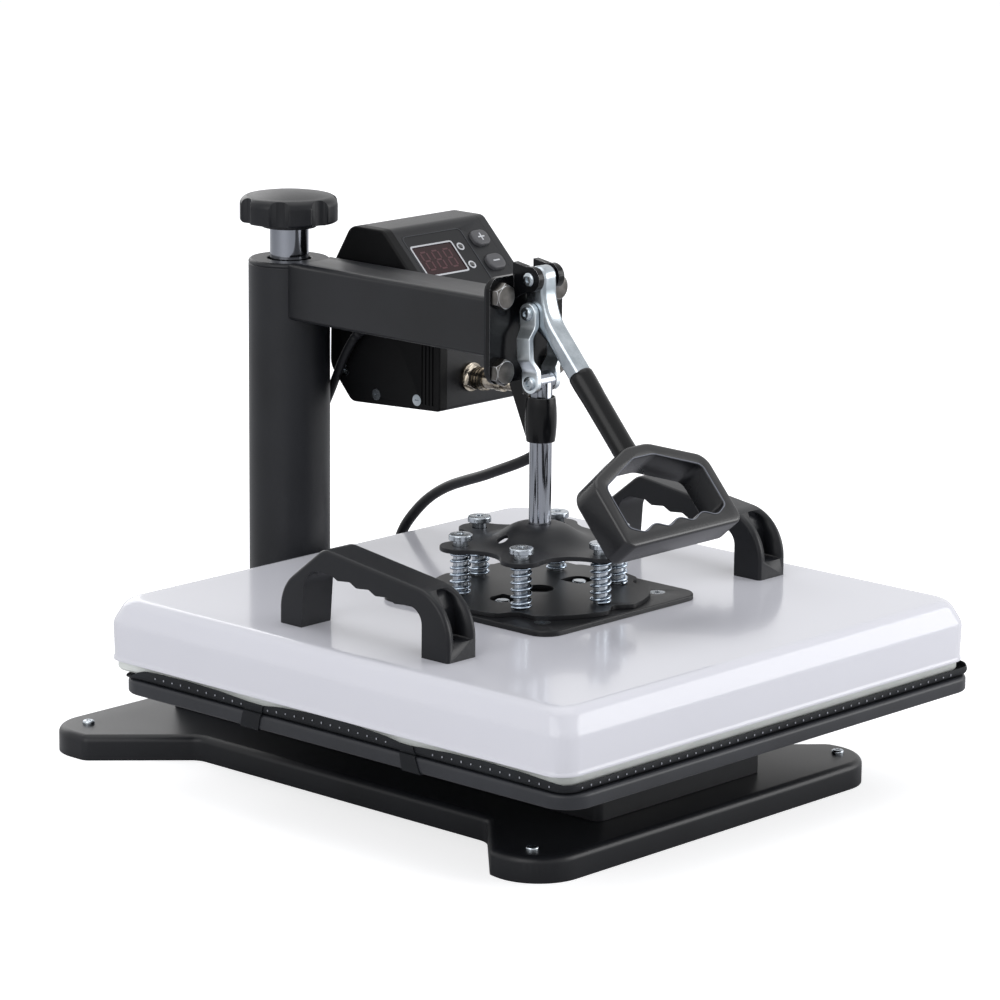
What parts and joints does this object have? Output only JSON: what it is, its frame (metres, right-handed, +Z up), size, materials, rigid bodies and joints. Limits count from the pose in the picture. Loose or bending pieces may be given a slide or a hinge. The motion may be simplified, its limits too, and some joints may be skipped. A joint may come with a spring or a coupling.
{
  "type": "swing-away heat press",
  "caption": "Flat swing-away heat press: a toggle lever presses a covered heated platen onto a padded bed from an arm that turns on a column, with a control box.",
  "frame": {"origin": "on the table under the middle of the heated platen, on the plunger's axis", "axes": "+X operator's right, +Y away from the operator, +Z up; the symmetry plane of arm, column and platen is X = 0"},
  "size_m": [0.4335, 0.622, 0.3777],
  "materials": {
    "black_steel": "satin",
    "white_enamel": "gloss",
    "zinc_steel": "satin",
    "chrome": "polished",
    "black_plastic": "satin",
    "box_plastic": "fine texture",
    "grey_key": "satin",
    "display_red": "gloss",
    "lamp": "gloss",
    "panel_film": "satin",
    "black_rubber": "matte",
    "cloth_black": "coated weave",
    "silicone": "matte",
    "mat_white": "felt",
    "bronze": "satin",
    "board_green": "satin",
    "cast_aluminium": "cast"
  },
  "bodies": {
    "base": {"base_shell": "black_steel", "base_floor": "black_steel", "base_screws": "zinc_steel", "riser_beam": "black_steel", "bed_plate": "black_steel", "silicone_pad": "silicone", "pad_sleeve": "cloth_black", "pad_straps": "cloth_black", "inner_post": "black_steel", "flange_bolts": "zinc_steel", "post_bushes": "bronze", "power_cable": "black_rubber", "cord_coil": "black_rubber", "mains_plug": "black_rubber"},
    "lift": {"thrust_washers": "zinc_steel"},
    "knob": {"height_knob": "black_plastic", "knob_sleeve": "chrome", "height_screw": "zinc_steel"},
    "arm": {"column_tube": "black_steel", "column_cap": "black_plastic", "arm_beam": "black_steel", "toggle_plate": "black_steel", "guide_bush": "bronze", "plate_bolts": "zinc_steel", "top_pin": "zinc_steel", "box_shell": "box_plastic", "near_end_cap": "box_plastic", "far_end_cap": "box_plastic", "cap_screws": "zinc_steel", "front_panel": "panel_film", "display_module": "display_red", "indicator_lamps": "lamp", "cable_connector": "zinc_steel", "box_bracket": "black_steel", "circuit_board": "board_green", "rocker_frame": "black_plastic", "cord_gland": "black_rubber"},
    "lever": {"lever_arm": "zinc_steel", "lever_sleeve": "black_plastic", "d_handle": "black_plastic", "mid_pin": "zinc_steel"},
    "link": {"toggle_links": "zinc_steel", "lower_rivets": "zinc_steel"},
    "plunger": {"plunger_rod": "chrome", "spring_plate": "black_steel"},
    "platen": {"heat_platen": "cast_aluminium", "insulation_mat": "mat_white", "cover": "white_enamel", "mounting_plate": "black_steel", "mounting_screws": "zinc_steel", "spring_disc": "black_steel", "shoulder_bolts": "zinc_steel", "coil_springs": "zinc_steel", "side_handle_left": "black_plastic", "side_handle_right": "black_plastic", "cable_gland": "black_rubber", "heater_cable": "black_rubber"},
    "plus_key": {"plus_key": "grey_key"},
    "minus_key": {"minus_key": "grey_key"},
    "rocker": {"rocker": "black_plastic"}
  },
  "joints": [
    {"name": "arm_height", "type": "slide", "parent": "base", "child": "lift", "axis": [0, 0, 1], "range_m": [0, 0.01]},
    {"name": "arm_swing", "type": "hinge", "parent": "lift", "child": "arm", "pos_m": [0, 0.2376, 0.2], "axis": [0, 0, 1], "range_deg": [-120, 120], "deforming": ["power_cable"]},
    {"name": "knob_turn", "type": "hinge", "parent": "lift", "child": "knob", "pos_m": [0, 0.2376, 0.36], "axis": [0, 0, 1], "range_deg": [0, 1800.01]},
    {"name": "lever_swing", "type": "hinge", "parent": "arm", "child": "lever", "pos_m": [0, 0, 0.347], "axis": [-1, 0, 0], "range_deg": [0, 95]},
    {"name": "link_swing", "type": "hinge", "parent": "lever", "child": "link", "pos_m": [0, 0.00275, 0.32366], "axis": [-1, 0, 0], "range_deg": [-128.74, 0]},
    {"name": "plunger_stroke", "type": "slide", "parent": "arm", "child": "plunger", "axis": [0, 0, 1], "range_m": [0, 0.02893], "deforming": ["heater_cable"]},
    {"name": "platen_float", "type": "slide", "parent": "plunger", "child": "platen", "axis": [0, 0, 1], "range_m": [0, 0.004], "stiffness_N_per_m": 18000, "springref_m": -0.0035, "deforming": ["coil_springs", "heater_cable"]},
    {"name": "plus_press", "type": "slide", "parent": "arm", "child": "plus_key", "axis": [0, 0.7059, -0.7083], "range_m": [0, 0.0008], "stiffness_N_per_m": 900, "springref_m": -0.0002},
    {"name": "minus_press", "type": "slide", "parent": "arm", "child": "minus_key", "axis": [0, 0.7059, -0.7083], "range_m": [0, 0.0008], "stiffness_N_per_m": 900, "springref_m": -0.0002},
    {"name": "rocker_tilt", "type": "hinge", "parent": "arm", "child": "rocker", "pos_m": [0.132, 0.165, 0.275], "axis": [0, 1, 0], "range_deg": [0, 14]}
  ],
  "couplings": [
    {"joint": "knob_turn", "follows": "arm_height", "rad_per_m": 3141.6},
    {"joint": "link_swing", "follows": "lever_swing", "ratio": -1.3551},
    {"joint": "plunger_stroke", "follows": "lever_swing", "m_per_rad": 0.017442}
  ]
}
